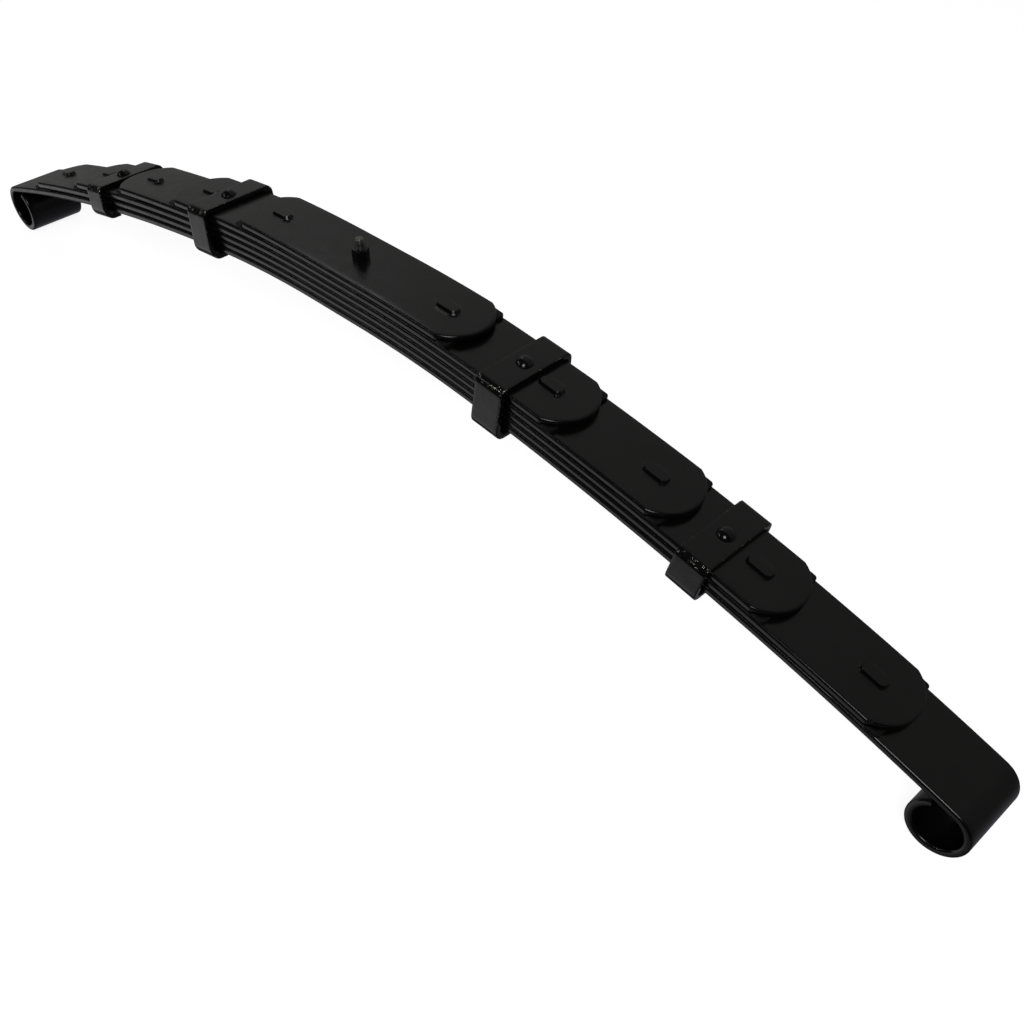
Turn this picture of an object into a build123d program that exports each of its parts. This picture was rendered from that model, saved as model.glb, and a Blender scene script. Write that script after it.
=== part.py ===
"""A semi-elliptic leaf spring, stood on its two eyes with the arch upwards. Millimetres.

X runs along the spring, Y across the leaves and +Z up the centre bolt. The origin is on the
ground under the centre bolt, so the eyes rest on Z = 0. Distances are measured along a leaf
from the bolt, positive to the right, and heights square to the leaf from its underside.
"""

from build123d import *
import os
from math import atan2, cos, radians, sin, sqrt, tan

# Spring steel and the shape of the arch
LEAF_WIDTH = 63.5
LEAF_THICKNESS = 6.35
EDGE_RADIUS = 2.0
SEAT_HALF_LENGTH = 30.0
INNER_ARC_END = 160.0
INNER_RADIUS = 1150.0
OUTER_RADIUS = 2580.0

# Main leaf: eyes rolled down at both ends
EYE_DISTANCE = 623.0
EYE_BORE_RADIUS = 18.0
EYE_WRAP = radians(314)
EYE_RADIUS = EYE_BORE_RADIUS + LEAF_THICKNESS

# Graduated leaves, from the one on the main leaf up to the shortest: bolt to tip
LEAF_REACH = {"leaf_2": 564.0, "leaf_3": 460.0, "leaf_4": 361.0, "leaf_5": 256.0, "leaf_6": 144.0}
SHORTEST_LEAF = "leaf_6"
TIP_RADIUS = 34.0
TIP_SETBACK = TIP_RADIUS - sqrt(TIP_RADIUS**2 - (LEAF_WIDTH / 2) ** 2)

# Tip liners: a thin pad under each tip, its button held in a nib pressed up in the leaf, and
# a thicker lip at each corner where the pad shows beyond the round tip
LINER_THICKNESS = 1.2
LINER_LENGTH = 42.0
LINER_WIDTH = 63.5
LINER_SETBACK = 8.5
LINER_CORNER = 3.0
LIP_HEIGHT = 3.2
LIP_CLEARANCE = 0.3
NIB_SETBACK = 39.0
NIB_LENGTH = 23.0
NIB_WIDTH = 10.6
NIB_HEIGHT = 2.8
NIB_ROOT = 0.5
NIB_TAPER = 18
POCKET_LENGTH = 17.0
POCKET_WIDTH = 5.6
POCKET_DEPTH = 4.6
BUTTON_CLEARANCE = 0.3

# Rebound clips, each riveted to the leaf whose tip it stands behind
CLIP_DISTANCE = {"inner": 188.0, "outer": 388.0}
CLIP_LEAF = {"inner": "leaf_5", "outer": "leaf_3"}
CLIP_LENGTH = 28.0
CLIP_THICKNESS = 4.5
CLIP_SIDE_CLEARANCE = 1.6
CLIP_UNDER_CLEARANCE = {"right": 4.5, "left": 1.7}
CLIP_LEG_SPLAY = 2.5
CLIP_TOP_BEND = 2.0
CLIP_LOWER_BEND = 5.0
CLIP_GAP_HALF_WIDTH = 23.5
RIVET_SHANK_RADIUS = 4.0
RIVET_HEAD_RADIUS = 7.3
RIVET_HEAD_HEIGHT = 4.4
RIVET_SINK_RADIUS = 6.0
RIVET_SINK_DEPTH = 2.5
RIVET_RIM = 0.4

# Centre bolt, five sixteenths of an inch, with a round locating head under the main leaf
BOLT_RADIUS = 3.97
BOLT_HOLE_RADIUS = 4.35
BOLT_HEAD_RADIUS = 7.94
BOLT_HEAD_HEIGHT = 9.5
BOLT_STAND_OUT = 16.0
BOLT_CHAMFER = 1.0
THREAD_PITCH = 25.4 / 24
THREAD_DEPTH = 0.6
NUT_ACROSS_FLATS = 12.7
NUT_HEIGHT = 8.0
NUT_CLEARANCE = 0.05
NUT_CHAMFER = 1.0

# Shallow round recess in the seat that the bolt's head or nut beds into
SPOT_FACE_RADIUS = 9.0
SPOT_FACE_DEPTH = 0.2

SIDES = {"right": 1, "left": -1}


class LeafLine:
    """Underside of a leaf: a flat seat, then two tangent arcs, the same on both sides of the bolt."""

    def __init__(self, seat_height, inner_radius, outer_radius):
        self.seat_height = seat_height
        self.inner_radius = inner_radius
        self.outer_radius = outer_radius

    def slope(self, distance):
        """Angle, in radians, that the leaf has turned down from level."""
        reach = abs(distance)
        inner = max(0, min(reach, INNER_ARC_END) - SEAT_HALF_LENGTH) / self.inner_radius
        outer = max(0, reach - INNER_ARC_END) / self.outer_radius
        return inner + outer

    def point(self, distance, height):
        """X and Z of the point at this distance along the leaf and height off its underside."""
        reach = abs(distance)
        inner_slope = self.slope(min(reach, INNER_ARC_END))
        x = min(reach, SEAT_HALF_LENGTH) + self.inner_radius * sin(inner_slope)
        z = self.seat_height - self.inner_radius * (1 - cos(inner_slope))
        slope = self.slope(distance)
        x += self.outer_radius * (sin(slope) - sin(inner_slope)) + height * sin(slope)
        z += self.outer_radius * (cos(slope) - cos(inner_slope)) + height * cos(slope)
        return (x, z) if distance >= 0 else (-x, z)

    def plane(self, distance, height):
        """Plane lying on the leaf, its x along the leaf towards +X and its z square to the leaf."""
        x, z = self.point(distance, height)
        turn = self.slope(distance) if distance >= 0 else -self.slope(distance)
        return Plane((x, 0, z), x_dir=(cos(turn), 0, -sin(turn)), z_dir=(sin(turn), 0, cos(turn)))

    def section(self, distance, height):
        """Plane that cuts the leaf square across, its x along +Y and its y away from the leaf."""
        flat = self.plane(distance, height)
        return Plane(flat.origin, x_dir=(0, 1, 0), z_dir=flat.x_dir)

    def next_up(self, reach):
        """Line of the leaf above, which lifts away evenly to the liner's thickness at its tip."""
        flattening = 2 * LINER_THICKNESS / (reach - SEAT_HALF_LENGTH) ** 2
        return LeafLine(
            self.seat_height + LEAF_THICKNESS,
            1 / (1 / (self.inner_radius + LEAF_THICKNESS) - flattening),
            1 / (1 / (self.outer_radius + LEAF_THICKNESS) - flattening),
        )


def leaf_arc(line, start, end, height):
    """Arc at one height over a leaf's underside, between two distances on one of its radii."""
    middle = (start + end) / 2
    return ThreePointArc(line.point(start, height), line.point(middle, height), line.point(end, height))


def half_leaf_edge(line, reach, height):
    """Run from the bolt out to the reach, at one height over the underside."""
    inner_end = min(reach, INNER_ARC_END)
    Line(line.point(0, height), line.point(SEAT_HALF_LENGTH, height))
    leaf_arc(line, SEAT_HALF_LENGTH, inner_end, height)
    if reach > INNER_ARC_END:
        leaf_arc(line, INNER_ARC_END, reach, height)


def eye_point(line, radius, wrap):
    """Point of the rolled eye, after this angle of curl from where it leaves the leaf."""
    centre_x, centre_z = line.point(EYE_DISTANCE, -EYE_BORE_RADIUS)
    turned = line.slope(EYE_DISTANCE) + wrap
    return (centre_x + radius * sin(turned), centre_z + radius * cos(turned))


def eye_arc(line, radius):
    """Arc of the rolled eye, from the leaf round to the end of the curl."""
    wraps = (0, EYE_WRAP / 2, EYE_WRAP)
    return ThreePointArc(*[eye_point(line, radius, wrap) for wrap in wraps])


def set_leaf_lines():
    """Undersides of all the leaves, with the eyes of the main leaf resting on Z = 0."""
    level = LeafLine(0, INNER_RADIUS, OUTER_RADIUS)
    eye_drop = level.point(EYE_DISTANCE, -EYE_BORE_RADIUS)[1]
    lines = {"main_leaf": LeafLine(EYE_RADIUS - eye_drop, INNER_RADIUS, OUTER_RADIUS)}
    below = lines["main_leaf"]
    for name, reach in LEAF_REACH.items():
        lines[name] = below.next_up(reach)
        below = lines[name]
    return lines


def round_long_edges(leaf):
    """Rolled edge of the spring steel, along everything but the short upright corners."""
    fillet(leaf.edges().filter_by(lambda edge: edge.length > 2 * LEAF_THICKNESS), EDGE_RADIUS)


def drill_for_bolt(line):
    """Cut the centre bolt's hole through the seat."""
    with BuildSketch(line.plane(0, LEAF_THICKNESS / 2)) as hole:
        Circle(BOLT_HOLE_RADIUS)
    extrude(hole.sketch, amount=LEAF_THICKNESS, both=True, mode=Mode.SUBTRACT)


def cut_spot_face(height, inward):
    """Bed for the bolt's head or nut, cut inward (up or down) from the face at this height."""
    with BuildSketch(Plane.XY.offset(height)) as bed:
        Circle(SPOT_FACE_RADIUS)
    extrude(bed.sketch, amount=inward * SPOT_FACE_DEPTH, mode=Mode.SUBTRACT)


def make_main_leaf(line):
    """Longest leaf, one bar with an eye rolled down at each end."""
    with BuildPart() as leaf:
        with BuildSketch(Plane.XZ):
            with BuildLine():
                half_leaf_edge(line, EYE_DISTANCE, 0)
                half_leaf_edge(line, EYE_DISTANCE, LEAF_THICKNESS)
                eye_arc(line, EYE_BORE_RADIUS)
                eye_arc(line, EYE_RADIUS)
                Line(eye_point(line, EYE_BORE_RADIUS, EYE_WRAP), eye_point(line, EYE_RADIUS, EYE_WRAP))
                mirror(about=Plane.YZ)
            make_face()
        extrude(amount=LEAF_WIDTH / 2, both=True)
        round_long_edges(leaf)
        drill_for_bolt(line)
        cut_spot_face(line.seat_height, 1)
    return leaf


def cut_round_tip(line, reach, side):
    """Cut both corners off a tip, which leaves its end round."""
    with BuildSketch(line.plane(side * reach, LEAF_THICKNESS / 2)) as corners:
        with Locations((-side * TIP_SETBACK / 2, 0)):
            Rectangle(TIP_SETBACK + EDGE_RADIUS, LEAF_WIDTH + EDGE_RADIUS)
        with Locations((-side * TIP_RADIUS, 0)):
            Circle(TIP_RADIUS, mode=Mode.SUBTRACT)
    extrude(corners.sketch, amount=LEAF_THICKNESS, both=True, mode=Mode.SUBTRACT)


def press_nib(line, distance):
    """Raise an oblong nib on top of the leaf, hollow below for the liner's button."""
    with BuildSketch(line.plane(distance, LEAF_THICKNESS - NIB_ROOT)) as nib:
        SlotOverall(NIB_LENGTH, NIB_WIDTH)
    extrude(nib.sketch, amount=NIB_ROOT + NIB_HEIGHT, taper=NIB_TAPER)
    with BuildSketch(line.plane(distance, -EDGE_RADIUS)) as pocket:
        SlotOverall(POCKET_LENGTH, POCKET_WIDTH)
    extrude(pocket.sketch, amount=EDGE_RADIUS + POCKET_DEPTH, mode=Mode.SUBTRACT)


def make_graduated_leaf(name, line, reach):
    """One of the shorter leaves, with round tips, nibs and any rivet holes."""
    with BuildPart() as leaf:
        with BuildSketch(Plane.XZ):
            with BuildLine():
                half_leaf_edge(line, reach, 0)
                half_leaf_edge(line, reach, LEAF_THICKNESS)
                Line(line.point(reach, 0), line.point(reach, LEAF_THICKNESS))
                mirror(about=Plane.YZ)
            make_face()
        extrude(amount=LEAF_WIDTH / 2, both=True)
        for side in SIDES.values():
            cut_round_tip(line, reach, side)
        round_long_edges(leaf)
        for side in SIDES.values():
            press_nib(line, side * (reach - NIB_SETBACK))
        drill_for_bolt(line)
        if name == SHORTEST_LEAF:
            cut_spot_face(line.seat_height + LEAF_THICKNESS, -1)
        for place, riveted_leaf in CLIP_LEAF.items():
            if riveted_leaf == name:
                for side in SIDES.values():
                    add_rivet(line, side * CLIP_DISTANCE[place], EDGE_RADIUS, Mode.SUBTRACT)
    return leaf


def make_liner_layer(middle, lower, upper, top_line, top_height):
    """Outline of a liner, filled from the lower leaf's top to this height off the top line."""
    ends = (middle - LINER_LENGTH / 2 - LIP_HEIGHT, middle + LINER_LENGTH / 2 + LIP_HEIGHT)
    with BuildPart() as layer:
        with BuildSketch(upper.plane(middle, 0)):
            RectangleRounded(LINER_LENGTH, LINER_WIDTH, LINER_CORNER)
        extrude(amount=2 * LIP_HEIGHT, both=True)
        with BuildSketch(Plane.XZ):
            with BuildLine():
                under = leaf_arc(lower, *ends, LEAF_THICKNESS)
                over = leaf_arc(top_line, *ends, top_height)
                Line(under @ 0, over @ 0)
                Line(under @ 1, over @ 1)
            make_face()
        extrude(amount=LINER_WIDTH, both=True, mode=Mode.INTERSECT)
    return layer.part


def make_liner(lower, upper, reach, side):
    """Thin pad between two leaves at a tip, with lips at its corners and a button on top."""
    middle = side * (reach - LINER_SETBACK - LINER_LENGTH / 2)
    with BuildPart() as liner:
        add(make_liner_layer(middle, lower, upper, lower, LEAF_THICKNESS + LIP_HEIGHT))
        with BuildSketch(upper.plane(side * reach, 0)):
            with Locations((-side * TIP_RADIUS, 0)):
                Circle(TIP_RADIUS + LIP_CLEARANCE)
            with Locations((-side * (TIP_SETBACK + LINER_LENGTH / 2), 0)):
                Rectangle(LINER_LENGTH, 2 * LINER_WIDTH)
        extrude(amount=4 * LIP_HEIGHT, both=True, mode=Mode.SUBTRACT)
        add(make_liner_layer(middle, lower, upper, upper, 0))
        root = LINER_THICKNESS / 4
        with BuildSketch(upper.plane(side * (reach - NIB_SETBACK), -root)):
            SlotOverall(POCKET_LENGTH - 2 * BUTTON_CLEARANCE, POCKET_WIDTH - 2 * BUTTON_CLEARANCE)
        extrude(amount=root + POCKET_DEPTH - BUTTON_CLEARANCE)
    return liner


def clip_outline(over, depth, growth):
    """Outline of a clip, grown from its inside: its legs splayed a little, round at the bottom."""
    top = LEAF_WIDTH / 2 + CLIP_SIDE_CLEARANCE
    splay = atan2(CLIP_LEG_SPLAY, depth)
    beside = growth / cos(splay)
    spread = growth * tan(splay)
    high = top + beside - spread
    low = top + CLIP_LEG_SPLAY + beside + spread
    with BuildSketch(over) as outline:
        with BuildLine():
            Polyline(
                (-high, growth),
                (high, growth),
                (low, -depth - growth),
                (-low, -depth - growth),
                close=True,
            )
        make_face()
        fillet(outline.vertices().sort_by(Axis.Y)[:2], CLIP_LOWER_BEND + growth)
        fillet(outline.vertices().sort_by(Axis.Y)[-2:], CLIP_TOP_BEND + growth)
    return outline.sketch


def make_clip(main_line, line, distance, clearance):
    """U strap over the leaves, with its two ends folded in under the main leaf."""
    over = line.section(distance, LEAF_THICKNESS)
    under_x, under_z = main_line.point(distance, 0)
    under_drop = -over.to_local_coords(Vector(under_x, 0, under_z)).Y
    depth = under_drop + clearance
    outside = clip_outline(over, depth, CLIP_THICKNESS)
    inside = clip_outline(over, depth, 0)
    with BuildPart() as clip:
        extrude(outside, amount=CLIP_LENGTH / 2, both=True)
        extrude(inside, amount=CLIP_LENGTH / 2, both=True, mode=Mode.SUBTRACT)
        with BuildSketch(over) as gap:
            with Locations((0, -depth)):
                Rectangle(2 * CLIP_GAP_HALF_WIDTH, 4 * CLIP_THICKNESS)
        extrude(gap.sketch, amount=CLIP_LENGTH / 2, both=True, mode=Mode.SUBTRACT)
        add_rivet(line, distance, 0, Mode.SUBTRACT)
    return clip


def add_rivet(line, distance, tail_drop, mode=Mode.ADD):
    """Domed rivet through a clip and its leaf, its countersunk tail carried down by tail_drop."""
    over = line.section(distance, LEAF_THICKNESS)
    tail = -LEAF_THICKNESS - tail_drop
    crown = CLIP_THICKNESS + RIVET_HEAD_HEIGHT
    with BuildSketch(over) as half_section:
        with BuildLine():
            dome = RadiusArc(
                (0, crown),
                (RIVET_HEAD_RADIUS, CLIP_THICKNESS),
                (RIVET_HEAD_RADIUS**2 + RIVET_HEAD_HEIGHT**2) / (2 * RIVET_HEAD_HEIGHT),
            )
            Polyline(
                dome @ 1,
                (RIVET_SHANK_RADIUS, CLIP_THICKNESS),
                (RIVET_SHANK_RADIUS, RIVET_SINK_DEPTH - LEAF_THICKNESS),
                (RIVET_SINK_RADIUS, RIVET_RIM - LEAF_THICKNESS),
                (RIVET_SINK_RADIUS, tail),
                (0, tail),
                dome @ 0,
            )
        make_face()
    revolve(half_section.sketch, axis=Axis(over.origin, over.y_dir), mode=mode)


def make_rivet(line, distance):
    """The rivet itself, its tail flush with the leaf's underside."""
    with BuildPart() as rivet:
        add_rivet(line, distance, 0)
    return rivet


def make_centre_bolt(seat_bottom, seat_top):
    """Round-headed bolt through the seat, its thread standing out above the shortest leaf."""
    stud_top = seat_top + BOLT_STAND_OUT
    thread_start = seat_top + NUT_HEIGHT + THREAD_PITCH / 2
    ring_count = int((stud_top - BOLT_CHAMFER - thread_start) / THREAD_PITCH)
    with BuildPart() as bolt:
        with BuildSketch(Plane.XY.offset(seat_bottom - BOLT_HEAD_HEIGHT)):
            Circle(BOLT_HEAD_RADIUS)
        extrude(amount=BOLT_HEAD_HEIGHT + SPOT_FACE_DEPTH)
        rims = bolt.edges().filter_by(GeomType.CIRCLE).sort_by(Axis.Z)
        chamfer(rims[0], BOLT_CHAMFER)
        chamfer(rims[-1], SPOT_FACE_DEPTH)
        with BuildSketch(Plane.XY.offset(seat_bottom)):
            Circle(BOLT_RADIUS)
        extrude(amount=stud_top - seat_bottom)
        chamfer(bolt.edges().filter_by(GeomType.CIRCLE).sort_by(Axis.Z)[-1], BOLT_CHAMFER)
        with BuildSketch(Plane.XZ):
            for ring in range(ring_count):
                with Locations((BOLT_RADIUS, thread_start + (ring + 0.5) * THREAD_PITCH)):
                    Rectangle(THREAD_DEPTH * sqrt(2), THREAD_DEPTH * sqrt(2), rotation=45)
        revolve(axis=Axis.Z, mode=Mode.SUBTRACT)
    return bolt


def make_centre_nut(seat_top):
    """Hexagon nut bedded in the shortest leaf, its corners turned back at both ends."""
    bottom = seat_top - SPOT_FACE_DEPTH
    flat_edge = NUT_ACROSS_FLATS / 2
    with BuildPart() as nut:
        with BuildSketch(Plane.XY.offset(bottom)):
            RegularPolygon(NUT_ACROSS_FLATS / sqrt(3), 6)
            Circle(BOLT_RADIUS + NUT_CLEARANCE, mode=Mode.SUBTRACT)
        extrude(amount=NUT_HEIGHT)
        with BuildSketch(Plane.XZ):
            for end, inward in ((bottom, 1), (bottom + NUT_HEIGHT, -1)):
                with BuildLine():
                    Polyline(
                        (flat_edge, end),
                        (flat_edge + 2 * NUT_CHAMFER, end),
                        (flat_edge + 2 * NUT_CHAMFER, end + inward * NUT_CHAMFER),
                        close=True,
                    )
                make_face()
        revolve(axis=Axis.Z, mode=Mode.SUBTRACT)
    return nut


def main():
    """Build every piece of the spring and write one STEP file for each."""
    lines = set_leaf_lines()
    names = list(lines)
    seat_bottom = lines["main_leaf"].seat_height
    seat_top = lines["leaf_6"].seat_height + LEAF_THICKNESS

    pieces = {"main_leaf": make_main_leaf(lines["main_leaf"])}
    for lower_name, name in zip(names, names[1:]):
        reach = LEAF_REACH[name]
        pieces[name] = make_graduated_leaf(name, lines[name], reach)
        for side_name, side in SIDES.items():
            liner = make_liner(lines[lower_name], lines[name], reach, side)
            pieces[f"{name}_liner_{side_name}"] = liner
    for place, leaf_name in CLIP_LEAF.items():
        for side_name, side in SIDES.items():
            distance = side * CLIP_DISTANCE[place]
            clearance = CLIP_UNDER_CLEARANCE[side_name]
            clip = make_clip(lines["main_leaf"], lines[leaf_name], distance, clearance)
            pieces[f"{place}_clip_{side_name}"] = clip
            pieces[f"{place}_rivet_{side_name}"] = make_rivet(lines[leaf_name], distance)
    pieces["centre_bolt"] = make_centre_bolt(seat_bottom, seat_top)
    pieces["centre_nut"] = make_centre_nut(seat_top)

    os.makedirs("parts", exist_ok=True)
    for name, piece in pieces.items():
        piece.part.label = name
        export_step(piece.part, f"parts/{name}.step")


main()
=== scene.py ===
"""Looks of a leaf spring, stood on its two eyes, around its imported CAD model. Metres, Z up.

The leaves, liners, clips, rivets, bolt and nut are built here again as fine meshes, from the
same lines and sizes as their solids. Sizes are in millimetres and become metres in one place.
"""

import bmesh
import bpy
from math import atan2, cos, hypot, pi, radians, sin, sqrt, tan
from mathutils import Matrix, Vector


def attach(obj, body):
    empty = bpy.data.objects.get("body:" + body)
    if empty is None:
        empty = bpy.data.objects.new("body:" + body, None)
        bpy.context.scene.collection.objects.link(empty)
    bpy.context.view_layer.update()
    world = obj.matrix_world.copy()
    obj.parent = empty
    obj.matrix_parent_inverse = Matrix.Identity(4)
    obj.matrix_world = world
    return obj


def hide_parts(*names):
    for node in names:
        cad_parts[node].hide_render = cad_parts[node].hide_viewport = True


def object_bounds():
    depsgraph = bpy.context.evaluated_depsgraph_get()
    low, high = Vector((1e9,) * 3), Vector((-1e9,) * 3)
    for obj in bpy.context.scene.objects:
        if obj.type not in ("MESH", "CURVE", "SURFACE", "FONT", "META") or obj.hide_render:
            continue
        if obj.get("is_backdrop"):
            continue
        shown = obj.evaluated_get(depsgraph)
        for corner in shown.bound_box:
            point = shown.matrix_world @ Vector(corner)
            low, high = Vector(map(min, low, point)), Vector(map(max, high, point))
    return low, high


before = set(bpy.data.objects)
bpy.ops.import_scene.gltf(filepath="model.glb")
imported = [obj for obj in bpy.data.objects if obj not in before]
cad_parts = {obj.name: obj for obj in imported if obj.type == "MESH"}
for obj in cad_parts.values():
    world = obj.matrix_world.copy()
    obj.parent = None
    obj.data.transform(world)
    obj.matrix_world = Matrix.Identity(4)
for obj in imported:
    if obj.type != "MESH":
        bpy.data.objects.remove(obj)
cad_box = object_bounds()

MM = 0.001
SHARP_ANGLE = radians(32)
SIDES = {"right": 1, "left": -1}

# Leaves
LEAF_WIDTH = 63.5
LEAF_THICKNESS = 6.35
EDGE_RADIUS = 2.0
SEAT_HALF_LENGTH = 30.0
INNER_ARC_END = 160.0
INNER_RADIUS = 1150.0
OUTER_RADIUS = 2580.0
LEAF_REACH = {"leaf_2": 564.0, "leaf_3": 460.0, "leaf_4": 361.0, "leaf_5": 256.0, "leaf_6": 144.0}
TIP_RADIUS = 34.0
TIP_SETBACK = TIP_RADIUS - sqrt(TIP_RADIUS**2 - (LEAF_WIDTH / 2) ** 2)
TIP_CORNER = 2.0
STATION_STEP = 7
NIB_STATION_STEP = 0.9
NIB_COLUMN_STEP = 0.75
COLUMN_STEP = 5
BEND_STEP = 0.12
TIP_STEP = 0.035

# Eyes
EYE_DISTANCE = 623.0
EYE_BORE_RADIUS = 18.0
EYE_WRAP = radians(314)
EYE_RADIUS = EYE_BORE_RADIUS + LEAF_THICKNESS

# Liners and nibs
LINER_THICKNESS = 1.2
LINER_LENGTH = 42.0
LINER_WIDTH = 63.5
LINER_SETBACK = 8.5
LINER_CORNER = 3.0
LIP_HEIGHT = 3.2
LIP_CLEARANCE = 0.3
LIP_START = 0.6
NIB_SETBACK = 39.0
NIB_LENGTH = 23.0
NIB_WIDTH = 10.6
NIB_HEIGHT = 2.8
NIB_SLOPE = 0.9
NIB_MARGIN = 0.5
POCKET_LENGTH = 17.0
POCKET_WIDTH = 5.6
POCKET_DEPTH = 4.6
POCKET_CLEARANCE = 0.3
POCKET_SLOPE = 0.6
LINER_RIM = 0.25

# Clips and rivets
CLIP_DISTANCE = {"inner": 188.0, "outer": 388.0}
CLIP_LEAF = {"inner": "leaf_5", "outer": "leaf_3"}
CLIP_LENGTH = 28.0
CLIP_THICKNESS = 4.5
CLIP_SIDE_CLEARANCE = 1.6
CLIP_UNDER_CLEARANCE = {"right": 4.5, "left": 1.7}
CLIP_LEG_SPLAY = 2.5
CLIP_TOP_BEND = 2.0
CLIP_LOWER_BEND = 5.0
CLIP_GAP_HALF_WIDTH = 23.5
CLIP_EDGE = 0.7
RIVET_SHANK_RADIUS = 4.0
RIVET_HEAD_RADIUS = 7.3
RIVET_HEAD_HEIGHT = 4.4
RIVET_SINK_RADIUS = 6.0
RIVET_SINK_DEPTH = 2.5
RIVET_SINK_LAND = 0.4
CUTTER_MARGIN = 3
CUTTER_SIDES = 40

# Centre bolt and nut
BOLT_RADIUS = 3.97
BOLT_HOLE_RADIUS = 4.35
BOLT_HEAD_RADIUS = 7.94
BOLT_HEAD_HEIGHT = 9.5
BOLT_STAND_OUT = 16.0
THREAD_PITCH = 25.4 / 24
THREAD_DEPTH = 0.6
NUT_ACROSS_FLATS = 12.7
NUT_HEIGHT = 8.0
NUT_TURNED_HEIGHT = 1.6
NUT_FACE_SHARE = 0.97
NUT_TURNED_SLOPE = radians(30)
BED_DEPTH = 0.2


class LeafLine:
    """Underside of a leaf: a flat seat, then two tangent arcs, the same both sides of the bolt."""

    def __init__(self, seat_height, inner_radius, outer_radius):
        self.seat_height = seat_height
        self.inner_radius = inner_radius
        self.outer_radius = outer_radius

    def slope(self, distance):
        """Angle, in radians, that the leaf has turned down from level."""
        reach = abs(distance)
        inner = max(0, min(reach, INNER_ARC_END) - SEAT_HALF_LENGTH) / self.inner_radius
        return inner + max(0, reach - INNER_ARC_END) / self.outer_radius

    def point(self, distance, height):
        """X and Z of the point at this distance along the leaf and height off its underside."""
        reach = abs(distance)
        inner_slope = self.slope(min(reach, INNER_ARC_END))
        x = min(reach, SEAT_HALF_LENGTH) + self.inner_radius * sin(inner_slope)
        z = self.seat_height - self.inner_radius * (1 - cos(inner_slope))
        slope = self.slope(distance)
        x += self.outer_radius * (sin(slope) - sin(inner_slope)) + height * sin(slope)
        z += self.outer_radius * (cos(slope) - cos(inner_slope)) + height * cos(slope)
        return (x, z) if distance >= 0 else (-x, z)

    def next_up(self, reach):
        """Line of the leaf above, which lifts away evenly to the liner's thickness at its tip."""
        flattening = 2 * LINER_THICKNESS / (reach - SEAT_HALF_LENGTH) ** 2
        return LeafLine(
            self.seat_height + LEAF_THICKNESS,
            1 / (1 / (self.inner_radius + LEAF_THICKNESS) - flattening),
            1 / (1 / (self.outer_radius + LEAF_THICKNESS) - flattening),
        )


def set_leaf_lines():
    """Undersides of all the leaves, with the eyes of the main leaf resting on Z = 0."""
    level = LeafLine(0, INNER_RADIUS, OUTER_RADIUS)
    eye_drop = level.point(EYE_DISTANCE, -EYE_BORE_RADIUS)[1]
    lines = {"main_leaf": LeafLine(EYE_RADIUS - eye_drop, INNER_RADIUS, OUTER_RADIUS)}
    below = lines["main_leaf"]
    for name, reach in LEAF_REACH.items():
        lines[name] = below.next_up(reach)
        below = lines[name]
    return lines


LINES = set_leaf_lines()
SEAT_BOTTOM = LINES["main_leaf"].seat_height
SEAT_TOP = LINES["leaf_6"].seat_height + LEAF_THICKNESS


# Meshes


def steps(start, stop, size):
    """Evenly spaced values from start to stop, both included, about this far apart."""
    count = max(1, round(abs(stop - start) / size))
    return [start + (stop - start) * k / count for k in range(count + 1)]


def smooth_step(value):
    """0 below 0 and 1 above 1, with a smooth rise between them."""
    value = min(1, max(0, value))
    return value * value * (3 - 2 * value)


def rim_profile(thickness, radius, segments=4):
    """(inset, height, wear) round one edge of a bar, from its top face to its bottom face."""
    profile = []
    for k in range(segments + 1):
        turn = pi / 2 * k / segments
        inset = radius * (1 - sin(turn))
        profile.append((inset, thickness - radius * (1 - cos(turn)), sin(2 * turn)))
    mirrored = [(inset, thickness - height, wear) for inset, height, wear in reversed(profile)]
    return profile + mirrored


def skin(name, rings, caps=(True, True), closed=False):
    """Mesh object through rings of (x, y, z, wear) in millimetres, its ends capped or left open."""
    bm = bmesh.new()
    wear = bm.verts.layers.float.new("wear")
    rows = []
    for ring in rings:
        row = []
        for x, y, z, amount in ring:
            vert = bm.verts.new((x * MM, y * MM, z * MM))
            vert[wear] = amount
            row.append(vert)
        rows.append(row)
    pairs = list(zip(rows, rows[1:]))
    if closed:
        pairs.append((rows[-1], rows[0]))
    for row, following in pairs:
        for k in range(len(row)):
            bm.faces.new((row[k - 1], row[k], following[k], following[k - 1]))
    for wanted, row in zip(caps, (rows[0], rows[-1])):
        if wanted and not closed:
            bm.faces.new(row)
    bmesh.ops.remove_doubles(bm, verts=bm.verts, dist=1e-7)
    bmesh.ops.recalc_face_normals(bm, faces=bm.faces)
    return finish_mesh(name, bm)


def finish_mesh(name, bm):
    """Object from the bmesh, smooth but for its sharp edges."""
    mesh = bpy.data.meshes.new(name)
    bm.to_mesh(mesh)
    bm.free()
    mesh.shade_smooth()
    mesh.set_sharp_from_angle(angle=SHARP_ANGLE)
    piece = bpy.data.objects.new(name, mesh)
    bpy.context.scene.collection.objects.link(piece)
    return piece


def join(piece, *others):
    """Merge the other objects' meshes into the first one's."""
    bm = bmesh.new()
    for source in (piece, *others):
        bm.from_mesh(source.data)
    bm.to_mesh(piece.data)
    bm.free()
    for source in others:
        bpy.data.objects.remove(source)
    piece.data.set_sharp_from_angle(angle=SHARP_ANGLE)
    return piece


def cut(piece, cutter):
    """Take the cutter's shape out of the piece."""
    modifier = piece.modifiers.new("cut", "BOOLEAN")
    modifier.object = cutter
    modifier.solver = "EXACT"
    graph = bpy.context.evaluated_depsgraph_get()
    result = bpy.data.meshes.new_from_object(piece.evaluated_get(graph))
    piece.modifiers.clear()
    piece.data = result
    bpy.data.objects.remove(cutter)
    piece.data.set_sharp_from_angle(angle=SHARP_ANGLE)


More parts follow.
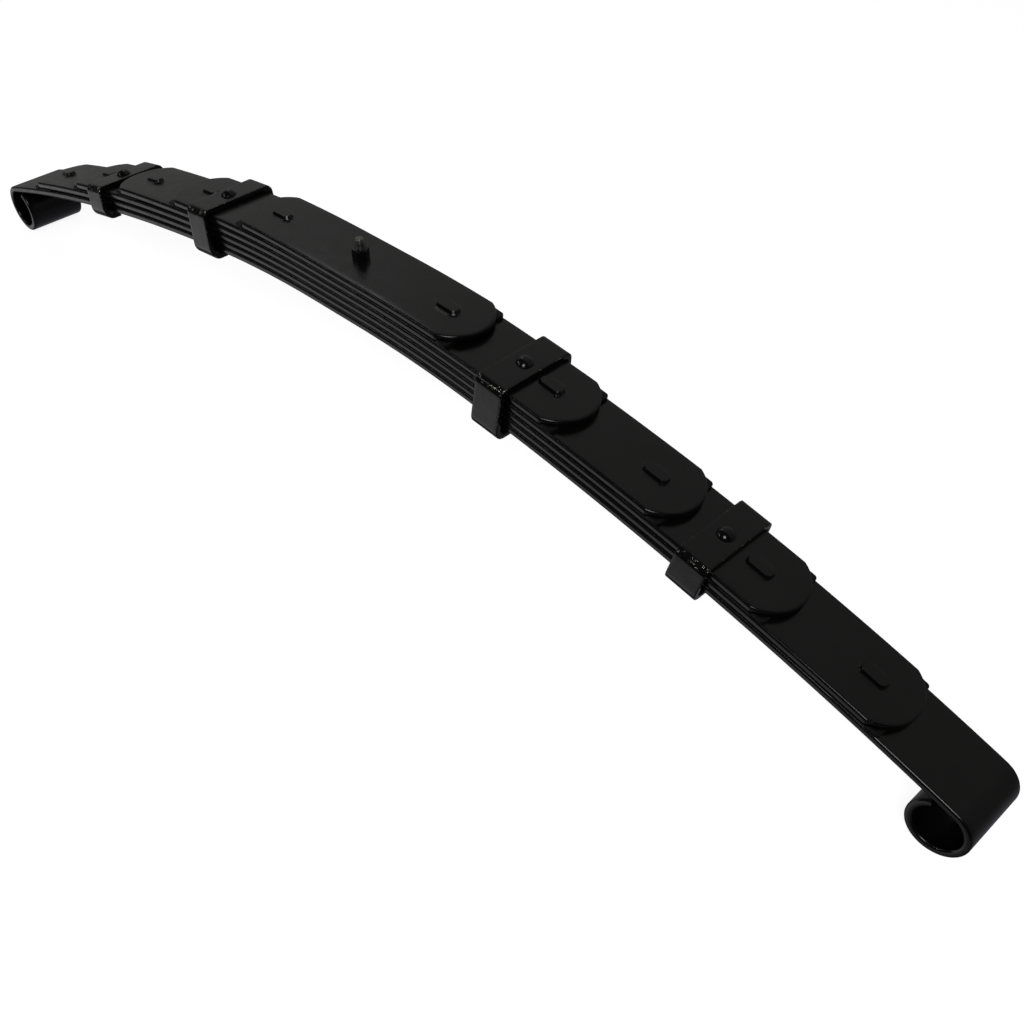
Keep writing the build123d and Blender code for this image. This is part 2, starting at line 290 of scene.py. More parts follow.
def lathe(name, profile, origin, axis, count=48):
    """Turned shape of (radius, height, wear) about the axis through the origin, capped."""
    turn = Vector((0, 0, 1)).rotation_difference(axis).to_matrix()
    rings = []
    for radius, height, wear in profile:
        ring = []
        for k in range(count):
            angle = 2 * pi * k / count
            spot = turn @ Vector((radius * cos(angle), radius * sin(angle), height)) + origin
            ring.append((*spot, wear))
        rings.append(ring)
    return skin(name, rings)


# Leaves


def slot_distance(along, across, length, width):
    """How far a place is outside the middle line of an oblong, less half its width."""
    beyond = max(0, abs(along) - (length - width) / 2)
    return sqrt(beyond**2 + across**2) - width / 2


def nib_rise(along, across):
    """Height of the pressed-up nib over the leaf's top face."""
    outside = slot_distance(along, across, NIB_LENGTH, NIB_WIDTH)
    return NIB_HEIGHT * smooth_step(-outside / NIB_SLOPE)


def pocket_rise(along, across):
    """Depth of the pocket under the nib, which holds the liner's button."""
    length, width = POCKET_LENGTH + 2 * POCKET_CLEARANCE, POCKET_WIDTH + 2 * POCKET_CLEARANCE
    outside = slot_distance(along, across, length, width)
    return POCKET_DEPTH * smooth_step(-outside / POCKET_SLOPE)


def tip_outline(reach, half_width, radius, corner):
    """(distance, half width, inward normal) round one tip, from the straight side to its end."""
    centre = reach - radius
    blend = centre + sqrt((radius - corner) ** 2 - (half_width - corner) ** 2)
    turn = atan2(half_width - corner, blend - centre)
    outline = []
    for angle in steps(pi / 2, turn, BEND_STEP)[:-1]:
        across = half_width - corner + corner * sin(angle)
        outline.append((blend + corner * cos(angle), across, -cos(angle), -sin(angle)))
    for angle in steps(turn, 0, TIP_STEP):
        place = (centre + radius * cos(angle), radius * sin(angle))
        outline.append((*place, -cos(angle), -sin(angle)))
    return outline


def leaf_stations(reach):
    """Stations from the bolt to a tip: close together on the nib and round the tip."""
    nib = reach - NIB_SETBACK
    nib_half = NIB_LENGTH / 2 + NIB_MARGIN
    half_width = LEAF_WIDTH / 2
    outline = tip_outline(reach, half_width, TIP_RADIUS, TIP_CORNER)
    straight = steps(0, nib - nib_half, STATION_STEP)[:-1]
    straight += steps(nib - nib_half, nib + nib_half, NIB_STATION_STEP)
    tip_start = outline[0][0] - 0.5
    side = [(distance, half_width, 0, -1) for distance in straight if distance < tip_start]
    return side + outline


def columns():
    """Places across the flat of a leaf, from -1 to 1: close together over the nibs."""
    flat = LEAF_WIDTH / 2 - EDGE_RADIUS
    nib_half = NIB_WIDTH / 2 + NIB_MARGIN
    half = steps(0, nib_half, NIB_COLUMN_STEP)[:-1] + steps(nib_half, flat, COLUMN_STEP)
    return [-across / flat for across in reversed(half[1:])] + [across / flat for across in half]


def make_graduated_leaf(name):
    """One of the shorter leaves, with round tips, nibs, pockets and its holes."""
    line, reach = LINES[name], LEAF_REACH[name]
    half = leaf_stations(reach)
    stations = [(-d, w, -nd, nw) for d, w, nd, nw in reversed(half)] + half[1:]
    rim = rim_profile(LEAF_THICKNESS, EDGE_RADIUS)
    across = columns()
    nib = reach - NIB_SETBACK
    rings = []
    for distance, width, normal_d, normal_w in stations:
        ring = []

        def add(inset, share, height, wear):
            along = distance + inset * normal_d
            y = share * (width + inset * normal_w)
            x, z = line.point(along, height)
            ring.append((x, y, z, wear))

        for share in reversed(across[1:-1]):
            y = share * (width - EDGE_RADIUS)
            rise = nib_rise(abs(distance) - nib, y)
            add(EDGE_RADIUS, share, LEAF_THICKNESS + rise, 0.5 * rise / NIB_HEIGHT)
        for inset, height, wear in rim:
            add(inset, -1, height, wear)
        for share in across[1:-1]:
            y = share * (width - EDGE_RADIUS)
            add(EDGE_RADIUS, share, pocket_rise(abs(distance) - nib, y), 0)
        for inset, height, wear in reversed(rim):
            add(inset, 1, height, wear)
        rings.append(ring)
    leaf = skin(name + "_mesh", rings, caps=(False, False))
    drill(leaf, line, 0, straight_hole(BOLT_HOLE_RADIUS, LEAF_THICKNESS))
    for place, riveted in CLIP_LEAF.items():
        if riveted == name:
            for side in SIDES.values():
                drill(leaf, line, side * CLIP_DISTANCE[place], rivet_hole())
    return leaf


def leaf_frame(line, distance, height):
    """Origin and outward direction at a place on a leaf."""
    x, z = line.point(distance, height)
    slope = line.slope(distance) * (1 if distance >= 0 else -1)
    return Vector((x, 0, z)), Vector((sin(slope), 0, cos(slope)))


def straight_hole(radius, thickness):
    """Cutter's outline for a plain hole through a bar of this thickness."""
    return [(radius, -CUTTER_MARGIN, 0), (radius, thickness + CUTTER_MARGIN, 0)]


def drill(leaf, line, distance, profile):
    """Cut a turned shape, its heights measured from the underside, through the leaf."""
    origin, up = leaf_frame(line, distance, 0)
    cut(leaf, lathe("cutter", profile, origin, up, CUTTER_SIDES))


def make_main_leaf():
    """Longest leaf, one bar with an eye rolled down at each end."""
    line = LINES["main_leaf"]
    wraps = steps(0, EYE_WRAP, radians(4))[1:]
    half = [(distance, 0) for distance in steps(0, EYE_DISTANCE, STATION_STEP)]
    half += [(EYE_DISTANCE, wrap) for wrap in wraps]
    stations = [(-distance, wrap) for distance, wrap in reversed(half)] + half[1:]
    rim = rim_profile(LEAF_THICKNESS, EDGE_RADIUS)
    across = columns()
    flat = LEAF_WIDTH / 2 - EDGE_RADIUS
    section = [(share * flat, LEAF_THICKNESS, 0) for share in reversed(across[1:-1])]
    section += [(inset - LEAF_WIDTH / 2, height, wear) for inset, height, wear in rim]
    section += [(share * flat, 0, 0) for share in across[1:-1]]
    section += [(LEAF_WIDTH / 2 - inset, height, wear) for inset, height, wear in reversed(rim)]
    rings = []
    for distance, wrap in stations:
        ring = []
        for y, height, wear in section:
            x, z = eye_or_leaf(line, distance, wrap, height)
            ring.append((x, y, z, wear))
        rings.append(ring)
    leaf = skin("main_leaf_mesh", rings)
    drill(leaf, line, 0, straight_hole(BOLT_HOLE_RADIUS, LEAF_THICKNESS))
    return leaf


def eye_or_leaf(line, distance, wrap, height):
    """X and Z on the main leaf: on the bar when wrap is 0, else on the curl of an eye."""
    if wrap == 0:
        return line.point(distance, height)
    centre_x, centre_z = line.point(EYE_DISTANCE, -EYE_BORE_RADIUS)
    turned = line.slope(EYE_DISTANCE) + wrap
    radius = EYE_BORE_RADIUS + height
    x = centre_x + radius * sin(turned)
    return (x if distance > 0 else -x), centre_z + radius * cos(turned)


# Liners


def liner_outline(near, far):
    """(distance, half width) along one side of a liner, from its inner end round to its far end."""
    half_width, corner = LINER_WIDTH / 2, LINER_CORNER
    turns = [(corner * (1 - sin(turn)), corner * (1 - cos(turn))) for turn in steps(0, pi / 2, 0.2)]
    outline = [(near + along, half_width - across) for across, along in turns]
    outline += [(distance, half_width) for distance in steps(near + corner, far - corner, 4)[1:-1]]
    return outline + [(far - along, half_width - across) for across, along in reversed(turns)]


def make_liner(name, side):
    """Thin pad that fills the space between two leaves at a tip, with lips and a button on top."""
    names = list(LINES)
    upper, lower = LINES[name], LINES[names[names.index(name) - 1]]
    far = LEAF_REACH[name] - LINER_SETBACK

    def on_lower(distance, y, height):
        below = distance - LEAF_THICKNESS * lower.slope(distance)
        x, z = lower.point(below, LEAF_THICKNESS + height)
        return side * x, y, z, 0

    def on_upper(distance, y, drop):
        x, z = upper.point(distance, -drop)
        return side * x, y, z, 0

    rings = []
    for distance, width in liner_outline(far - LINER_LENGTH, far):
        flat = width - LINER_RIM
        ring = [on_upper(distance, share * flat, 0) for share in steps(1, -1, 0.1)]
        ring += [on_upper(distance, -width, LINER_RIM), on_lower(distance, -width, LINER_RIM)]
        ring += [on_lower(distance, share * flat, 0) for share in steps(-1, 1, 0.1)]
        ring += [on_lower(distance, width, LINER_RIM), on_upper(distance, width, LINER_RIM)]
        rings.append(ring)
    pad = skin(f"{name}_liner_{'right' if side > 0 else 'left'}_mesh", rings)
    lips = [make_lip(on_lower, LEAF_REACH[name], across) for across in (1, -1)]
    return join(pad, *lips, make_button(upper, side * (LEAF_REACH[name] - NIB_SETBACK)))


def make_lip(on_lower, reach, across):
    """Thicker corner of a liner, beyond the round tip of the leaf above it."""
    far, centre, hollow = reach - LINER_SETBACK, reach - TIP_RADIUS, TIP_RADIUS + LIP_CLEARANCE
    start = reach - TIP_SETBACK + LIP_START
    outline = [place for place in liner_outline(far - LINER_LENGTH, far) if place[0] > start]
    far_turn = atan2(sqrt(hollow**2 - (far - centre) ** 2), far - centre)
    near_turn = atan2(LINER_WIDTH / 2, start - centre)
    for turn in steps(far_turn, near_turn, 0.06)[:-1]:
        outline.append((centre + hollow * cos(turn), hollow * sin(turn)))
    outline = [place for place in outline if hypot(place[0] - centre, place[1]) > hollow - 0.01]
    middle_d = sum(place[0] for place in outline) / len(outline)
    middle_y = sum(place[1] for place in outline) / len(outline)
    levels = [(0.05, 0), (LIP_HEIGHT - 0.7, 0), (LIP_HEIGHT - 0.2, 0.2), (LIP_HEIGHT, 0.7)]
    rings = []
    for height, inset in levels:
        ring = []
        for distance, y in outline:
            gap = hypot(distance - middle_d, y - middle_y)
            share = 1 - min(0.5, inset / gap)
            y = middle_y + (y - middle_y) * share
            ring.append(on_lower(middle_d + (distance - middle_d) * share, across * y, height))
        rings.append(ring)
    return skin("lip", rings)


def make_button(line, distance):
    """Oblong button of a liner, which stands up in the leaf's pocket."""
    origin, up = leaf_frame(line, distance, 0)
    along = Vector((up.z, 0, -up.x))
    half_length, radius = (POCKET_LENGTH - POCKET_WIDTH) / 2, POCKET_WIDTH / 2 - POCKET_CLEARANCE
    levels = [(-0.3, 0), (POCKET_DEPTH - 1, 0.05)]
    levels += [(POCKET_DEPTH - 0.5, 0.3), (POCKET_DEPTH - 0.3, 0.9)]
    rings = []
    for height, inset in levels:
        ring = []
        for k in range(32):
            angle = 2 * pi * (k + 0.5) / 32
            shift = half_length if cos(angle) > 0 else -half_length
            spot = origin + up * height + along * (shift + (radius - inset) * cos(angle))
            ring.append((spot.x, (radius - inset) * sin(angle), spot.z, 0))
        rings.append(ring)
    return skin("button", rings)


# Clips and rivets


def rounded_corner(before, corner, after, radius):
    """(across, up, outward normal) round one corner of a path that turns clockwise."""
    into = Vector((corner[0] - before[0], corner[1] - before[1])).normalized()
    out = Vector((after[0] - corner[0], after[1] - corner[1])).normalized()
    turn = into.angle(out)
    start = Vector(corner) - into * radius * tan(turn / 2)
    normal = Vector((-into.y, into.x))
    centre = start - normal * radius
    path = []
    for angle in steps(0, turn, BEND_STEP):
        spoke = normal * cos(angle) + into * sin(angle)
        path.append((*(centre + spoke * radius), *spoke))
    return path


def clip_path(depth):
    """(across, up, outward normal) along the inside of a clip, from one folded end to the other."""
    top = LEAF_WIDTH / 2 + CLIP_SIDE_CLEARANCE
    bottom = top + CLIP_LEG_SPLAY
    end, low, high = (-CLIP_GAP_HALF_WIDTH, -depth), (-bottom, -depth), (-top, 0)
    fold = rounded_corner(end, low, high, CLIP_LOWER_BEND)
    crown = rounded_corner(low, high, (0, 0), CLIP_TOP_BEND)
    path = [(across, -depth, 0, -1) for across in steps(end[0], fold[0][0], 1.5)[:-1]] + fold
    for share in steps(0, 1, 0.05)[1:-1]:
        leg = [first + (last - first) * share for first, last in zip(fold[-1], crown[0])]
        path.append(tuple(leg))
    path += crown + [(across, 0, 0, 1) for across in steps(crown[-1][0], 0, 2)[1:]]
    return path + [(-a, u, -na, nu) for a, u, na, nu in reversed(path[:-1])]


def make_clip(place, side_name):
    """U strap over the leaves, with its two ends folded in under the main leaf."""
    distance = SIDES[side_name] * CLIP_DISTANCE[place]
    origin, up = leaf_frame(LINES[CLIP_LEAF[place]], distance, LEAF_THICKNESS)
    along = Vector((up.z, 0, -up.x))
    under = leaf_frame(LINES["main_leaf"], distance, 0)[0]
    depth = (origin - under).dot(up) + CLIP_UNDER_CLEARANCE[side_name]
    rim = rim_profile(CLIP_THICKNESS, CLIP_EDGE, 3)
    half_length = CLIP_LENGTH / 2
    flat = half_length - CLIP_EDGE
    lengths = steps(flat, -flat, 2)[1:-1]
    section = [(shift, CLIP_THICKNESS, 0) for shift in lengths]
    section += [(inset - half_length, height, wear) for inset, height, wear in rim]
    section += [(shift, 0, 0) for shift in reversed(lengths)]
    section += [(half_length - inset, height, wear) for inset, height, wear in reversed(rim)]
    rings = []
    for a, u, normal_a, normal_u in clip_path(depth):
        bend = abs(normal_a * normal_u) * 2
        ring = []
        for shift, height, wear in section:
            spot = origin + along * shift + up * (u + height * normal_u)
            outer = height / CLIP_THICKNESS
            amount = outer * max(wear, 0.9 * bend)
            ring.append((spot.x, a + height * normal_a, spot.z, amount))
        rings.append(ring)
    clip = skin(f"{place}_clip_{side_name}_mesh", rings)
    hole = straight_hole(RIVET_SHANK_RADIUS, CLIP_THICKNESS)
    cut(clip, lathe("cutter", hole, origin, up, CUTTER_SIDES))
    return clip


def rivet_hole():
    """Hole of a rivet in its leaf, wider at the underside for the countersunk tail."""
    return [
        (RIVET_SINK_RADIUS, -2, 0),
        (RIVET_SINK_RADIUS, RIVET_SINK_LAND, 0),
        (RIVET_SHANK_RADIUS, RIVET_SINK_DEPTH, 0),
        (RIVET_SHANK_RADIUS, LEAF_THICKNESS + CUTTER_MARGIN, 0),
    ]


def make_rivet(place, side_name):
    """Rivet with a domed head, a rim where the head was pressed down, and a countersunk tail."""
    distance = SIDES[side_name] * CLIP_DISTANCE[place]
    origin, up = leaf_frame(LINES[CLIP_LEAF[place]], distance, LEAF_THICKNESS)
    sphere = (RIVET_HEAD_RADIUS**2 + RIVET_HEAD_HEIGHT**2) / (2 * RIVET_HEAD_HEIGHT)
    profile = [
        (0, -LEAF_THICKNESS, 0),
        (RIVET_SINK_RADIUS - 0.3, -LEAF_THICKNESS, 0),
        (RIVET_SINK_RADIUS, RIVET_SINK_LAND - LEAF_THICKNESS, 0),
        (RIVET_SHANK_RADIUS, RIVET_SINK_DEPTH - LEAF_THICKNESS, 0),
        (RIVET_SHANK_RADIUS, CLIP_THICKNESS, 0),
        (RIVET_HEAD_RADIUS - 0.25, CLIP_THICKNESS, 0.6),
        (RIVET_HEAD_RADIUS, CLIP_THICKNESS + 0.3, 1),
    ]
    for radius in steps(RIVET_HEAD_RADIUS - 0.15, 0, 0.6):
        height = sqrt(sphere**2 - radius**2) - sphere + RIVET_HEAD_HEIGHT
        wear = 0.25 + 0.3 * (radius / RIVET_HEAD_RADIUS) ** 3
        profile.append((radius, CLIP_THICKNESS + height, wear))
    return lathe(f"{place}_rivet_{side_name}_mesh", profile, origin, up)


# Centre bolt and nut


def make_bolt():
    """Round-headed bolt with a rolled thread, in rings from its head to its end."""
    base = SEAT_BOTTOM - BOLT_HEAD_HEIGHT
    top = SEAT_TOP + BOLT_STAND_OUT
    thread_start = SEAT_TOP + 1
    count = 60
    levels = [(0, base), (BOLT_HEAD_RADIUS - 1, base), (BOLT_HEAD_RADIUS - 0.3, base + 0.35)]
    levels += [(BOLT_HEAD_RADIUS, base + 1), (BOLT_HEAD_RADIUS, SEAT_BOTTOM)]
    bedded = SEAT_BOTTOM + BED_DEPTH
    levels += [(BOLT_HEAD_RADIUS - BED_DEPTH, bedded), (BOLT_RADIUS, bedded)]
    rings = [turned_ring(radius, height, count, 0.3) for radius, height in levels]
    for height in steps(SEAT_BOTTOM + 2, thread_start, 4):
        rings.append(turned_ring(BOLT_RADIUS, height, count, 0))
    for height in steps(thread_start, top, THREAD_PITCH / 8)[1:]:
        ring = []
        for k in range(count):
            turn = k / count
            phase = (height / THREAD_PITCH - turn) % 1
            groove = THREAD_DEPTH * max(0, 1 - abs(2 * phase - 1) * 1.25)
            chamfer = max(0, 1 - (top - height))
            radius = min(BOLT_RADIUS - groove, BOLT_RADIUS - chamfer)
            crest = 1 - groove / THREAD_DEPTH
            ring.append((radius * cos(2 * pi * turn), radius * sin(2 * pi * turn), height, crest))
        rings.append(ring)
    rings.append(turned_ring(0.6, top, count, 1))
    return skin("centre_bolt_mesh", rings)


def turned_ring(radius, height, count, wear):
    """Level ring about the bolt's axis."""
    angles = [2 * pi * k / count for k in range(count)]
    return [(radius * cos(angle), radius * sin(angle), height, wear) for angle in angles]


def make_nut():
    """Hexagon nut, its corners turned back at both ends, round an open bore."""
    bottom = SEAT_TOP - BED_DEPTH
    top = bottom + NUT_HEIGHT
    apothem = NUT_ACROSS_FLATS / 2
    bore = BOLT_RADIUS + 0.05
    count = 120
    turned = NUT_TURNED_HEIGHT
    levels = steps(0, turned, 0.2) + steps(turned, NUT_HEIGHT - turned, turned)[1:-1]
    levels += steps(NUT_HEIGHT - turned, NUT_HEIGHT, 0.2)
    rings = [turned_ring(bore, bottom + 0.5, count, 0), turned_ring(bore + 0.5, bottom, count, 0)]
    for level in levels:
        ring = []
        from_end = min(level, NUT_HEIGHT - level)
        cone = apothem * NUT_FACE_SHARE + from_end / tan(NUT_TURNED_SLOPE)
        for k in range(count):
            angle = 2 * pi * k / count
            corner = (angle % (pi / 3)) - pi / 6
            radius = min(apothem / cos(corner), cone)
            wear = smooth_step(abs(corner) * 6 / pi * 8 - 7)
            ring.append((radius * cos(angle), radius * sin(angle), bottom + level, wear))
        rings.append(ring)
    rings += [turned_ring(bore + 0.5, top, count, 0.4), turned_ring(bore, top - 0.5, count, 0)]
    return skin("centre_nut_mesh", rings, closed=True)


# Materials

DUST = (0.05, 0.05, 0.046)
BARE_METAL = (0.42, 0.4, 0.34)


def new_material(name):
    """Material, its node tree and its shader."""
    material = bpy.data.materials.new(name)
    material.use_nodes = True
    tree = material.node_tree
    return material, tree, tree.nodes["Principled BSDF"]


def add_node(tree, kind, inputs=(), **settings):
    """Node with its settings, and its inputs set to a value or linked to a socket."""
    node = tree.nodes.new("ShaderNode" + kind)
    for key, value in settings.items():
        setattr(node, key, value)
    for key, value in dict(inputs).items():
        if isinstance(value, bpy.types.NodeSocket):
            tree.links.new(value, node.inputs[key])
        else:
            node.inputs[key].default_value = value
    return node


def noise(tree, scale, detail=3.0, roughness=0.55, stretch=(1, 1, 1)):
    """Noise in the object's own metres, stretched along its axes."""
    place = add_node(tree, "TexCoord").outputs["Object"]
    scaled = add_node(tree, "Mapping", {"Vector": place, "Scale": stretch}).outputs["Vector"]
    inputs = {"Vector": scaled, "Scale": scale, "Detail": detail, "Roughness": roughness}
    return add_node(tree, "TexNoise", inputs).outputs["Fac"]


def spread(tree, value, low, high, to_low=0.0, to_high=1.0):
    """Value carried from one range to another and held inside it."""
    inputs = {"Value": value, "From Min": low, "From Max": high}
    inputs.update({"To Min": to_low, "To Max": to_high})
    return add_node(tree, "MapRange", inputs, clamp=True).outputs["Result"]


def maths(tree, operation, first, second):
    """One operation on two values."""
    return add_node(tree, "Math", {0: first, 1: second}, operation=operation).outputs[0]


def mix_colours(tree, share, first, second):
    """Mix of two colours."""
    node = add_node(tree, "Mix", {"Factor": share}, data_type="RGBA")
    for key, value in (("A", first), ("B", second)):
        socket = [entry for entry in node.inputs if entry.name == key and entry.type == "RGBA"][0]
        if isinstance(value, bpy.types.NodeSocket):
            tree.links.new(value, socket)
        else:
            socket.default_value = (*value, 1)
    return [entry for entry in node.outputs if entry.type == "RGBA"][0]


def bump(tree, height, strength, distance, normal=None):
    """Bump of this strength over an earlier one."""
    inputs = {"Height": height, "Strength": strength, "Distance": distance}
    if normal:
        inputs["Normal"] = normal
    return add_node(tree, "Bump", inputs).outputs["Normal"]


def paint(name, colour, tint, roughness, peel, chips, flaking=0.64):
    """Sprayed black enamel: orange peel, uneven gloss, dust, and chips to bare metal."""
    material, tree, shader = new_material(name)
    link = tree.links.new
    wear = add_node(tree, "Attribute", attribute_name="wear").outputs["Fac"]
    cloud = noise(tree, 26, 4)
    dust = spread(tree, noise(tree, 420, 5, 0.7), 0.66, 0.85)
    base = mix_colours(tree, spread(tree, cloud, 0.35, 0.7), colour, tint)
    base = mix_colours(tree, maths(tree, "MULTIPLY", dust, 0.08), base, DUST)
    flakes = spread(tree, noise(tree, 240, 6, 0.75), flaking, flaking + 0.03)
    chip = maths(tree, "MULTIPLY", flakes, spread(tree, wear, 1 - chips, 1.05 - chips))
    base = mix_colours(tree, chip, base, BARE_METAL)
    link(base, shader.inputs["Base Color"])
    gloss = spread(tree, noise(tree, 90, 4), 0.3, 0.7, roughness * 0.8, roughness * 1.3)
    link(gloss, shader.inputs["Roughness"])
    link(maths(tree, "MULTIPLY", chip, 0.8), shader.inputs["Metallic"])
    waves = bump(tree, noise(tree, 45, 2), 0.15, 0.001)
    skin_peel = bump(tree, noise(tree, 700, 2), peel, 0.0003, waves)
    link(bump(tree, chip, 0.4, 0.0002, skin_peel), shader.inputs["Normal"])
    return material


def plastic(name):
    """Satin black plastic with a fine moulded grain."""
    material, tree, shader = new_material(name)
    base = mix_colours(tree, noise(tree, 60, 4), (0.004, 0.004, 0.004), (0.009, 0.009, 0.009))
    tree.links.new(base, shader.inputs["Base Color"])
    gloss = spread(tree, noise(tree, 300, 3), 0.3, 0.7, 0.45, 0.65)
    tree.links.new(gloss, shader.inputs["Roughness"])
    tree.links.new(bump(tree, noise(tree, 1600, 2), 0.2, 0.0002), shader.inputs["Normal"])
    shader.inputs["Specular IOR Level"].default_value = 0.3
    return material


def zinc(name):
    """Zinc-plated steel, overspray of black paint low down and bright where the thread was cut."""
    material, tree, shader = new_material(name)
    wear = add_node(tree, "Attribute", attribute_name="wear").outputs["Fac"]
    place = add_node(tree, "TexCoord").outputs["Object"]
    height = add_node(tree, "SeparateXYZ", {"Vector": place}).outputs["Z"]
    end = spread(tree, height, (SEAT_TOP + 12.5) * MM, (SEAT_TOP + 15.6) * MM)
    bareness = maths(tree, "ADD", noise(tree, 500, 4), maths(tree, "MULTIPLY", end, 0.35))
    patches = spread(tree, bareness, 0.5, 0.62)
    metal = mix_colours(tree, noise(tree, 900, 3), (0.10, 0.105, 0.09), (0.3, 0.3, 0.27))
    base = mix_colours(tree, patches, (0.03, 0.034, 0.028), metal)
    tree.links.new(base, shader.inputs["Base Color"])
    tree.links.new(patches, shader.inputs["Metallic"])
    gloss = maths(tree, "SUBTRACT", 0.5, maths(tree, "MULTIPLY", wear, 0.15))
    tree.links.new(gloss, shader.inputs["Roughness"])
    tree.links.new(bump(tree, noise(tree, 1800, 2), 0.2, 0.0001), shader.inputs["Normal"])
    return material


def pale_surface(name, reflection):
    """Plain pale surface, lit from within so that it stays even."""
    material, tree, shader = new_material(name)
    low, high = 0.5 * reflection, 0.52 * reflection
    tone = mix_colours(tree, noise(tree, 3, 2), (low, low, low), (high, high, high))
    tree.links.new(tone, shader.inputs["Base Color"])
    shader.inputs["Roughness"].default_value = 0.9
    shader.inputs["Specular IOR Level"].default_value = 0.1
    shader.inputs["Emission Color"].default_value = (1, 1, 1, 1)
    shader.inputs["Emission Strength"].default_value = 0.9
    return material


# Pieces on their bodies


def put(piece, node, body, material):
    """Show this piece in place of a CAD node, in its finish, on its body."""
    piece.data.materials.clear()
    piece.data.materials.append(material)
    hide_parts(node)
    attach(piece, body)


def build_spring():
    """Every piece of the spring."""
    leaf_black = (0.0025, 0.0026, 0.0022), (0.005, 0.0053, 0.0045)
    clip_black = (0.003, 0.0031, 0.0027), (0.006, 0.0063, 0.0055)
    rivet_black = (0.003, 0.003, 0.003), (0.006, 0.006, 0.006)
    nut_black = (0.002, 0.002, 0.002), (0.004, 0.004, 0.004)
    leaf_paint = paint("leaf_enamel", *leaf_black, roughness=0.22, peel=0.03, chips=0.1)
    clip_paint = paint(
        "clip_enamel", *clip_black, roughness=0.18, peel=0.06, chips=0.4, flaking=0.56
    )
    rivet_paint = paint("rivet_enamel", *rivet_black, roughness=0.16, peel=0.08, chips=0.1)
    nut_paint = paint("nut_oxide", *nut_black, roughness=0.35, peel=0.1, chips=0.15)
    liner = plastic("liner_grain")
    put(make_main_leaf(), "main_leaf", "spring_pack", leaf_paint)
    for name in LEAF_REACH:
        put(make_graduated_leaf(name), name, "spring_pack", leaf_paint)
        for side_name, side in SIDES.items():
            liner_name = f"{name}_liner_{side_name}"
            put(make_liner(name, side), liner_name, "spring_pack", liner)
    for place in CLIP_LEAF:
        for side_name in SIDES:
            clip, rivet = make_clip(place, side_name), make_rivet(place, side_name)
            put(clip, f"{place}_clip_{side_name}", "spring_pack", clip_paint)
            put(rivet, f"{place}_rivet_{side_name}", "spring_pack", rivet_paint)
    put(make_bolt(), "centre_bolt", "spring_pack", zinc("bolt_plate"))
    put(make_nut(), "centre_nut", "nut", nut_paint)


# Camera, floor and light


def build_camera():
    """Camera at the viewing angle of the photograph: high, in front of the right end."""
    turn, tilt, roll = radians(46.9), radians(51.5), radians(-1.16)
    forward = Vector((-sin(turn) * cos(tilt), cos(turn) * cos(tilt), -sin(tilt)))
    level_right = Vector((cos(turn), sin(turn), 0))
    level_up = level_right.cross(forward)
    right = cos(roll) * level_right + sin(roll) * level_up
    up = -sin(roll) * level_right + cos(roll) * level_up
    data = bpy.data.cameras.new("camera")
    data.sensor_width = 36
    data.lens = 37.86
    data.shift_x = 0.0271
    data.shift_y = 0.2092
    data.clip_end = 60
    camera = bpy.data.objects.new("camera", data)
    camera.matrix_world = Matrix((right, up, -forward)).transposed().to_4x4()
    camera.location = (0.6857, -0.5141, 0.6303)
    bpy.context.scene.collection.objects.link(camera)
    bpy.context.scene.camera = camera


def build_floor():
    """Wide floor under the spring."""
    bm = bmesh.new()
    bmesh.ops.create_grid(bm, x_segments=8, y_segments=8, size=9)
    plane = finish_mesh("floor", bm)
    plane.location = (-1.5, 1.5, 0)
    plane.data.materials.append(pale_surface("pale_floor", 1))
    plane.visible_glossy = False
    plane.visible_diffuse = False
    plane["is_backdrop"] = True


def build_backdrop():
    """Pale dome that only the camera sees, so the paint still mirrors the dim room."""
    bm = bmesh.new()
    bmesh.ops.create_icosphere(bm, subdivisions=4, radius=25)
    bmesh.ops.reverse_faces(bm, faces=bm.faces)
    dome = finish_mesh("backdrop", bm)
    dome.data.materials.append(pale_surface("pale_backdrop", 0))
    dome.visible_glossy = False
    dome.visible_diffuse = False
    dome.visible_shadow = False
    dome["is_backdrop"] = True


def add_light(name, place, target, size, power):
    """Soft rectangular light that faces its target."""
    data = bpy.data.lights.new(name, "AREA")
    data.shape = "RECTANGLE"
    data.size, data.size_y = size
    data.energy = power
    light = bpy.data.objects.new(name, data)
    light.location = place
    direction = Vector(target) - Vector(place)
    light.rotation_euler = direction.to_track_quat("-Z", "Y").to_euler()
    bpy.context.scene.collection.objects.link(light)


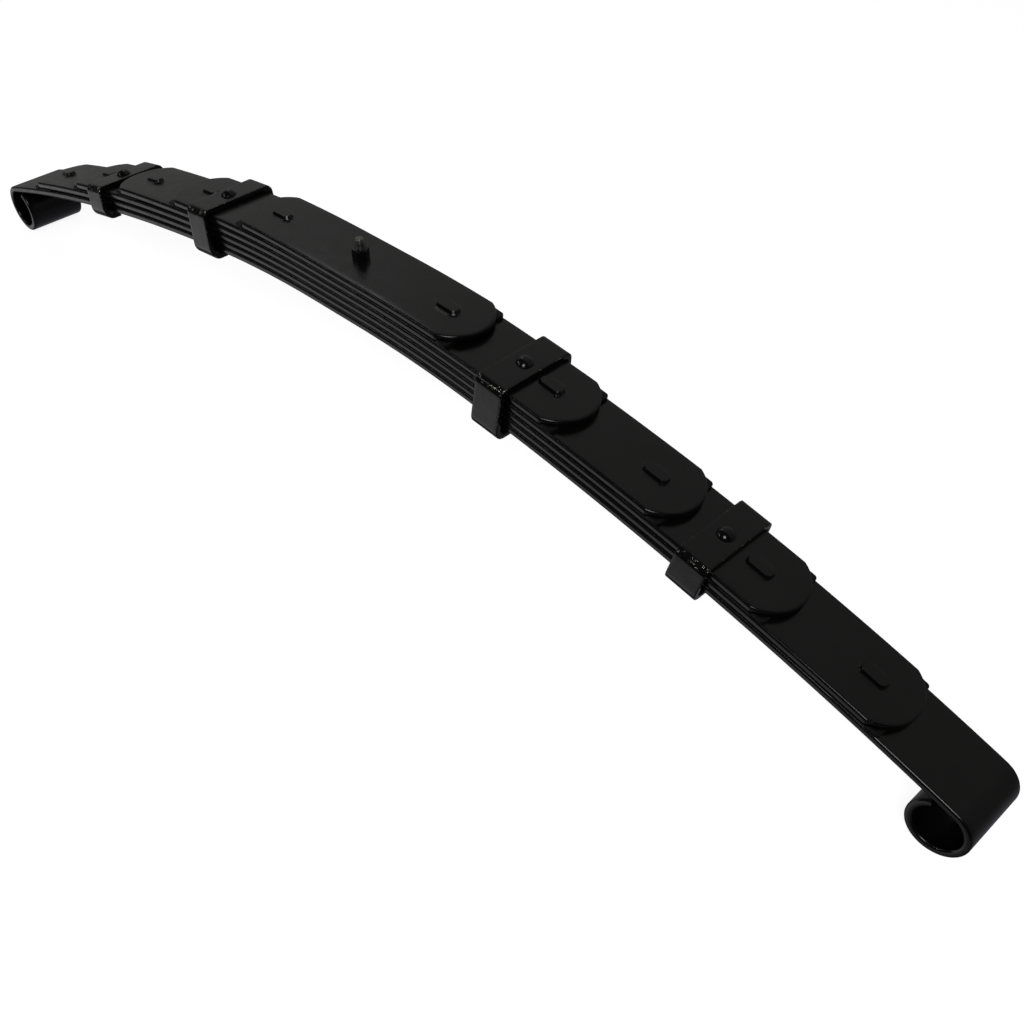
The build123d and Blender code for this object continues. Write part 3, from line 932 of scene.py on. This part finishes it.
def build_world():
    """Dim room, darkest on the near side, where only a pale strip of floor shows in the gloss."""
    world = bpy.data.worlds.new("studio")
    world.use_nodes = True
    tree = world.node_tree
    place = add_node(tree, "TexCoord").outputs["Generated"]
    axes = add_node(tree, "SeparateXYZ", {"Vector": place}).outputs
    right, near, up = axes["X"], maths(tree, "MULTIPLY", axes["Y"], -1), axes["Z"]
    low = spread(tree, up, -0.5, -0.26)
    below = mix_colours(tree, low, (0.16, 0.16, 0.18), (0.11, 0.11, 0.108))
    horizon = spread(tree, up, -0.1, 0.06)
    level = mix_colours(tree, horizon, below, (0.14, 0.14, 0.138))
    room = mix_colours(tree, spread(tree, up, 0.1, 0.8), level, (0.2, 0.2, 0.197))
    room = mix_colours(tree, spread(tree, near, -0.2, 0.05), room, (0.025, 0.025, 0.028))
    drop = maths(tree, "ARCTAN2", maths(tree, "MULTIPLY", up, -1), near)
    upper_edge = spread(tree, drop, 0.5, 0.66)
    lower_edge = spread(tree, drop, 1.0, 1.2, 1.0, 0.0)
    strip = maths(tree, "MULTIPLY", upper_edge, lower_edge)
    strip = maths(tree, "MULTIPLY", strip, spread(tree, right, -0.26, -0.08, 1.0, 0.3))
    room = mix_colours(tree, strip, room, (0.5, 0.5, 0.51))
    tree.links.new(room, tree.nodes["Background"].inputs["Color"])
    strength = maths(tree, "SUBTRACT", 1, maths(tree, "MULTIPLY", right, 0.4))
    tree.links.new(strength, tree.nodes["Background"].inputs["Strength"])
    bpy.context.scene.world = world


def build_light():
    """Soft studio light: a large one behind the camera, and smaller ones for the gloss."""
    build_world()
    add_light("key", (1.6, -2.2, 2.6), (0, 0, 0.1), (1.2, 1.2), 30)
    add_light("left_lamp", (-1.75, 0.9, 1.85), (0, 0, 0.1), (0.5, 0.5), 0.9)
    add_light("near_left_panel", (-1.45, -1.5, 1.6), (0, 0, 0.1), (2.0, 0.08), 2.8)
    bpy.context.scene.view_settings.view_transform = "Standard"


build_camera()
build_floor()
build_backdrop()
build_light()
build_spring()

boxes = {"cad": cad_box, "visual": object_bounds()}
{key: [list(corner) for corner in box] for key, box in boxes.items()}
